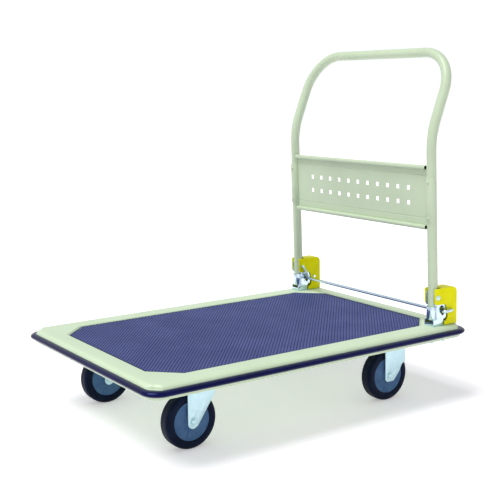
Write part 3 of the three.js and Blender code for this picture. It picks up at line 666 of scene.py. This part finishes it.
def addPanelSheet(backX):
    columns = [-panel["sheetHalf"]]
    for hole in range(panel["holes"]):
        centre = (hole - (panel["holes"] - 1) / 2) * panel["pitch"]
        columns += [centre - panel["hole"] / 2, centre + panel["hole"] / 2]
    columns.append(panel["sheetHalf"])
    rows = [panel["low"]]
    depths = {}
    for z in (panel["creases"][0], *panel["rows"], panel["creases"][1]):
        if z in panel["creases"]:
            rows += [z - panel["creaseHalf"], z, z + panel["creaseHalf"]]
            depths[z] = panel["creaseDepth"]
        else:
            rows += [z - panel["hole"] / 2, z + panel["hole"] / 2]
    rows.append(panel["high"])
    deselectAll()
    bpy.ops.mesh.primitive_grid_add(x_subdivisions=len(columns) - 1, y_subdivisions=len(rows) - 1,
                                    size=1)
    piece = bpy.context.object
    piece.name = "handlePanelSheet"
    frontX = backX + panel["sheet"]
    for vert in piece.data.vertices:
        row, column = divmod(vert.index, len(columns))
        vert.co = (frontX - depths.get(rows[row], 0), columns[column], rows[row])
    openEdit(piece)

    def inHole(face):
        centre = face.calc_center_median()
        across = (centre.y / panel["pitch"] + 0.5) % 1 - 0.5
        return (min(abs(centre.z - z) for z in panel["rows"]) < 1 * mm
                and abs(across) * panel["pitch"] < 1 * mm
                and abs(centre.y) < panel["sheetHalf"] - 30 * mm)

    pick(piece, "faces", inHole)
    bpy.ops.mesh.delete(type="FACE")
    faceFront(piece)
    thickenSheet(piece, -1, panel["edgeRound"])
    closeEdit(piece, 20)
    tiltForward(piece)
    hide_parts("handle_panel")
    finishPiece(piece, "handle_panel")


# the rolls along the sheet's top and bottom edges, with a near-black fill sunk into each end: painted shade for
# the inside of the hollow roll
roll = {"edge": 0.3 * mm, "shadeFillIn": 0.8 * mm, "shadeFillEase": 0.6 * mm, "shadeFillDeep": 5 * mm, "shadeFillGap": 0.1 * mm}


def addPanelRolls(backX):
    half, outer, inner = panel["rollHalf"], panel["roll"], panel["roll"] - panel["sheet"]
    edge, face, fit = roll["edge"], half - roll["shadeFillIn"], inner - roll["shadeFillGap"]
    section = [(outer, -half + edge), (outer, half - edge), (outer - edge, half), (inner + edge, half),
               (inner, half - edge), (inner, -half + edge), (inner + edge, -half), (outer - edge, -half)]
    shadeFill = [(0, face), (inner - roll["shadeFillEase"], face), (fit, face - roll["shadeFillEase"]),
            (fit, half - roll["shadeFillDeep"]), (0, half - roll["shadeFillDeep"])]
    for word, z in (("Lower", panel["low"]), ("Upper", panel["high"])):
        centre = (backX + panel["roll"], 0, z)
        piece = turnedPiece("handlePanelRoll" + word, section, centre, "Y", 24, True)
        tiltForward(piece)
        finishPiece(piece, "handle_panel")
        # each end gets a near-black fill set a little inside it: painted shade where the hollow roll is dark
        # inside
        for endWord, end in (("Left", 1), ("Right", -1)):
            outline = [(radius, end * reach) for radius, reach in shadeFill]
            piece = turnedPiece("rollPlug" + word + endWord, outline, centre, "Y", 20)
            tiltForward(piece)
            finishPiece(piece, "handle_panel", "darkPlug")


# the flange saddles the front of an upright, from its inner side to its outer side
def addPanelFlange(word, side):
    tubeX, tubeY = jointAt["handle_fold"].x, handle["side"]
    inner = handle["radius"] + flange["gap"]
    start, end = flange["wrap"]
    columns = []
    for step in range(flange["steps"] + 1):
        turn = math.radians(start + (end - start) * step / flange["steps"])
        columns.append((tubeX + inner * math.cos(turn), side * (tubeY + inner * math.sin(turn))))
    rows = [flange["low"], (flange["low"] + flange["high"]) / 2, flange["high"]]
    deselectAll()
    bpy.ops.mesh.primitive_grid_add(x_subdivisions=len(columns) - 1, y_subdivisions=len(rows) - 1,
                                    size=1)
    piece = bpy.context.object
    piece.name = "handlePanelFlange" + word
    for vert in piece.data.vertices:
        row, column = divmod(vert.index, len(columns))
        vert.co = (*columns[column], rows[row])
    openEdit(piece)
    tip = Vector((*columns[-1], 0))
    pick(piece, "verts", lambda vert: (Vector((vert.co.x, vert.co.y, 0)) - tip).length < 0.1 * mm
         and abs(vert.co.z - rows[1]) > 10 * mm)
    bpy.ops.mesh.bevel(offset=flange["corner"], segments=4, affect="VERTICES")
    faceFront(piece)
    thickenSheet(piece, 1, flange["edgeRound"])
    closeEdit(piece, 40)
    tiltForward(piece)
    finishPiece(piece, "handle_panel")


def addPanelRivet(word, level, seat):
    node = word + "_" + level + "_panel_rivet"
    z = {"upper": flange["high"] - rivet["belowHigh"], "lower": flange["low"] + rivet["aboveLow"]}[level]
    centre = (seat, sides[word] * handle["side"], z)
    piece = turnedPiece(node + "_head", rivet["section"], centre, "X", 20)
    tiltForward(piece)
    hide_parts(node)
    finishPiece(piece, node)


def addPanel():
    pin = jointAt["handle_fold"]
    backX = pin.x + 1 * mm
    addPanelSheet(backX)
    addPanelRolls(backX)
    for word, side in sides.items():
        addPanelFlange(word.title(), side)
        for level in ("upper", "lower"):
            addPanelRivet(word, level, pin.x + handle["radius"] + 0.3 * mm + panel["sheet"])


addHandleTube()
addPanel()
print("handle and panel made")


# hinges: brackets, covers, pins, springs and the lock bar

lockBar = {"radius": 4 * mm, "arm": 305 * mm, "bend": 7 * mm, "tipIn": 2 * mm}
spring = {"radius": 4.2 * mm, "wire": 0.8 * mm, "turns": 11, "stepsPerTurn": 14, "hook": 6 * mm}
pinLook = {"headDepth": 3.9 * mm, "radius": 4 * mm, "tipRadius": 3.2 * mm, "tipDepth": 0.8 * mm,
           "head": ((2.6 * mm, 0.3 * mm), (5 * mm, 1.1 * mm), (6.6 * mm, 2.4 * mm), (6.9 * mm, 3.2 * mm)),
           "seatRadius": 6.5 * mm}
softEdges = {"bracket": 0.5 * mm, "cover": 1.1 * mm, "bolt": 0.4 * mm, "nut": 0.5 * mm, "fork": 0.6 * mm,
             "plate": 0.5 * mm}


def addLockBar():
    low, high, _ = place("lock_bar")
    crank = jointAt["lock_bar_press"]
    rest = Vector((high.x - lockBar["radius"], 0, low.z + lockBar["radius"]))
    tip = place("left_hinge_cover")[0].y - lockBar["tipIn"]
    back = Vector((crank.x, 0, crank.z)) - rest
    reach = back.length - 2 * lockBar["bend"]
    arm = lockBar["arm"] - lockBar["bend"]
    moves = [arm - tip, (lockBar["bend"], -back, 6), reach, (lockBar["bend"], (0, -1, 0), 6), 2 * arm,
             (lockBar["bend"], back, 6), reach, (lockBar["bend"], (0, 1, 0), 6), arm - tip]
    piece = drawnTube("lockBarRod", lockBar["radius"], (crank.x, tip, crank.z), (0, 1, 0), moves, 16)
    endTube(piece)
    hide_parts("lock_bar")
    finishPiece(piece, "lock_bar", "brightZinc")


def addSpring(word):
    node = word + "_lock_spring"
    middle = place(node)[2]
    pin = jointAt["handle_fold"]
    barLow, barHigh, _ = place("lock_bar")
    bar = Vector((barHigh.x - lockBar["radius"], middle.y, barLow.z + lockBar["radius"]))
    top = Vector((pin.x, middle.y, pin.z))
    axis = (bar - top).normalized()
    across = Vector((0, 1, 0))
    other = axis.cross(across)
    coilStart, coilEnd = spring["hook"], (bar - top).length - spring["hook"]
    count = spring["turns"] * spring["stepsPerTurn"]
    points = [top, top + axis * (coilStart * 0.5)]
    for step in range(count + 1):
        turn = 2 * math.pi * step / spring["stepsPerTurn"]
        along = top + axis * (coilStart + (coilEnd - coilStart) * step / count)
        points.append(along + (across * math.cos(turn) + other * math.sin(turn)) * spring["radius"])
    points += [bar - axis * (coilStart * 0.5), bar]
    curve = bpy.data.curves.new(node + "_coil", "CURVE")
    curve.dimensions = "3D"
    curve.bevel_depth = spring["wire"]
    curve.bevel_resolution = 2
    curve.use_fill_caps = True
    line = curve.splines.new("POLY")
    line.points.add(len(points) - 1)
    for point, at in zip(line.points, points):
        point.co = (*at, 1)
    coil = bpy.data.objects.new(node + "_coil", curve)
    bpy.context.scene.collection.objects.link(coil)
    deselectAll()
    coil.select_set(True)
    bpy.context.view_layer.objects.active = coil
    bpy.ops.object.convert(target="MESH")
    bpy.ops.object.shade_smooth()
    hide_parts(node)
    finishPiece(coil, node, "brightZinc", ride=False)
    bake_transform(coil)


def addHinge(word, side):
    softenedCopy(word + "_hinge_bracket", softEdges["bracket"], "brightZinc")
    softenedCopy(word + "_hinge_cover", softEdges["cover"], segments=3)
    for end in ("front", "rear"):
        softenedCopy(word + "_" + end + "_hinge_bolt", softEdges["bolt"])
    node = word + "_hinge_pin"
    low, high, middle = place(node)
    head = side * (high.y if side > 0 else -low.y) - middle.y
    tail = side * (low.y if side > 0 else -high.y) - middle.y
    seat = head - side * pinLook["headDepth"]
    section = [(0, head)] + [(radius, head - side * depth) for radius, depth in pinLook["head"]]
    section += [(pinLook["seatRadius"], seat), (pinLook["radius"], seat),
                (pinLook["radius"], tail + side * pinLook["tipDepth"]), (pinLook["tipRadius"], tail),
                (0, tail)]
    piece = turnedPiece(node + "_turned", section, middle, "Y", 28)
    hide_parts(node)
    finishPiece(piece, node)
    addSpring(word)


addLockBar()
for word, side in sides.items():
    addHinge(word, side)
print("hinges and lock bar made")


# casters

# bead, crown and hub are sections in mm: how far out from the core, down from the tread or
# up from the axle, and how far in from the wheel's face or, for the crown, from its middle
wheel = {"radius": 64.99 * mm, "half": 16 * mm, "core": 45 * mm, "shoulder": 8 * mm, "shoulderSteps": 6,
         "shoulderFlat": 0.8, "crownDrop": 0.2 * mm, "bead": ((0.2, 0.8), (1.5, 0)),
         "crown": ((0, 3.5), (0, 0.6), (0.3, 0)),
         "hub": ((8.4, -0.8), (14, -0.8), (15, 0), (16.5, 1.6), (20, 1.2), (41.5, 0.9), (42.4, 0.1),
                 (44.4, 0.1), (44.9, 0.7))}
hubRib = {"count": 16, "inner": 17.5 * mm, "outerGap": 3 * mm, "sunk": 0.95 * mm, "deep": 0.7 * mm,
          "wide": 0.9 * mm}


def tyreSection():
    radius, half, shoulder = wheel["radius"], wheel["half"], wheel["shoulder"]
    points = [(wheel["core"] + out * mm, sunk * mm - half) for out, sunk in wheel["bead"]]
    sideTop = radius - wheel["crownDrop"] - shoulder
    for step in range(wheel["shoulderSteps"] + 1):
        turn = math.pi / 2 * step / wheel["shoulderSteps"]
        sunk = shoulder * (1 - math.cos(turn)) * wheel["shoulderFlat"]
        points.append((sideTop + shoulder * math.sin(turn), sunk - half))
    points += [(radius - drop * mm, -across * mm) for drop, across in wheel["crown"]]
    return points + [(r, -y) for r, y in reversed(points[:-1])]


def hubSection():
    front = [(radius * mm, sunk * mm - wheel["half"]) for radius, sunk in wheel["hub"]]
    return front + [(r, -y) for r, y in reversed(front)]


def addHubRibs(piece):
    openEdit(piece)
    inner, outer = hubRib["inner"], wheel["core"] - hubRib["outerGap"]
    for face in (-1, 1):
        for rib in range(hubRib["count"]):
            bpy.ops.mesh.select_all(action="DESELECT")
            y = face * (wheel["half"] - hubRib["sunk"])
            bpy.ops.mesh.primitive_cube_add(size=1, location=((inner + outer) / 2, y, 0),
                                            scale=(outer - inner, hubRib["deep"], hubRib["wide"]))
            bpy.ops.transform.rotate(value=-2 * math.pi * rib / hubRib["count"], orient_axis="Y",
                                     center_override=(0, 0, 0))
    closeEdit(piece, 30)


def rimmedWheels():
    tyre = turnedPiece("tyreMaster", tyreSection(), (0, 0, 0), "Y", 72, True)
    hub = turnedPiece("hubMaster", hubSection(), (0, 0, 0), "Y", 64, True)
    addHubRibs(hub)
    for end in ("front", "rear"):
        for word in sides:
            name = end + "_" + word
            centre = place(name + "_tyre")[2]
            for master, part in ((tyre, "_tyre"), (hub, "_hub")):
                piece = copyAt(master, name + part + "_turned", centre)
                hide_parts(name + part)
                finishPiece(piece, name + part)
    for master in (tyre, hub):
        bpy.data.objects.remove(master)


# the axle's sections in mm: out from its centre, and out from the fork's face at the head end
# or, for the tail, past the far face
fork = {"face": 21.6 * mm}
axle = {"dish": ((4, -0.2), (6.4, 0.1), (7.4, 0.9), (8.4, 1.3), (9.4, 0.8), (10, -0.2)),
        "head": ((0, 3.3), (3.6, 3.3), (4.9, 2.7), (5.3, 1.8), (5.3, -0.4), (5, -0.6)),
        "tail": ((5, -8), (4.2, -8.8), (0, -8.8))}
pressedRib = {"back": 17 * mm, "front": 6 * mm, "low": 88 * mm, "high": 150 * mm, "off": 0.1 * mm,
              "deep": 2 * mm, "inset": 1.8 * mm, "raised": 0.4 * mm, "edgeRound": 0.5 * mm}


def addAxle(name, side):
    node = name + "_axle_bolt"
    centre = place(name + "_tyre")[2]
    face = fork["face"]
    dish = [(r * mm, face + y * mm) for r, y in axle["dish"]]
    boss = [(r * mm, face + y * mm) for r, y in axle["head"]]
    boss += [(r * mm, y * mm - face) for r, y in axle["tail"]]
    for word, section, closed in (("_ring", dish, True), ("_shank", boss, False)):
        piece = turnedPiece(node + word, [(r, side * y) for r, y in section], centre, "Y", 28, closed)
        if word == "_shank":
            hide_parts(node)
        finishPiece(piece, node)
    softenedCopy(name + "_axle_nut", softEdges["nut"])


def addPressedRib(name, side):
    centre = place(name + "_tyre")[2]
    face = fork["face"] + pressedRib["off"]
    low = Vector((centre.x - pressedRib["back"], 0, pressedRib["low"]))
    high = Vector((centre.x + pressedRib["front"], 0, pressedRib["high"]))
    middle = (low + high) / 2
    deselectAll()
    bpy.ops.mesh.primitive_cube_add(size=1, location=(middle.x, centre.y + side * face, middle.z),
                                    scale=(high.x - low.x, pressedRib["deep"], high.z - low.z))
    piece = bpy.context.object
    piece.name = name + "_fork_rib"
    bpy.ops.object.transform_apply(location=True, rotation=True, scale=True)
    openEdit(piece)
    outerY = centre.y + side * (face + pressedRib["deep"] / 2)
    pick(piece, "faces", lambda part: abs(part.calc_center_median().y - outerY) < 0.1 * mm)
    bpy.ops.mesh.inset(thickness=pressedRib["inset"])
    bpy.ops.transform.translate(value=(0, side * pressedRib["raised"], 0))
    bpy.ops.mesh.select_all(action="SELECT")
    bpy.ops.mesh.normals_make_consistent(inside=False)
    closeEdit(piece, 30)
    applyModifier(piece, "BEVEL", width=pressedRib["edgeRound"], segments=3, limit_method="ANGLE",
                  angle_limit=math.radians(15))
    finishPiece(piece, name + "_fork")


rimmedWheels()
for word, side in sides.items():
    for end in ("front", "rear"):
        name = end + "_" + word
        addAxle(name, side)
        softenedCopy(name + "_fork", softEdges["fork"])
    addPressedRib("front_" + word, side)
    softenedCopy("rear_" + word + "_swivel_plate", softEdges["plate"])
print("casters made")


# the frame's own nodes that stay get the finish of their slot

for node, thing in frame["nodes"].items():
    thing.data.materials.clear()
    thing.data.materials.append(finish(finishOfSlot[slotOf[node]]))
print("finishes set")
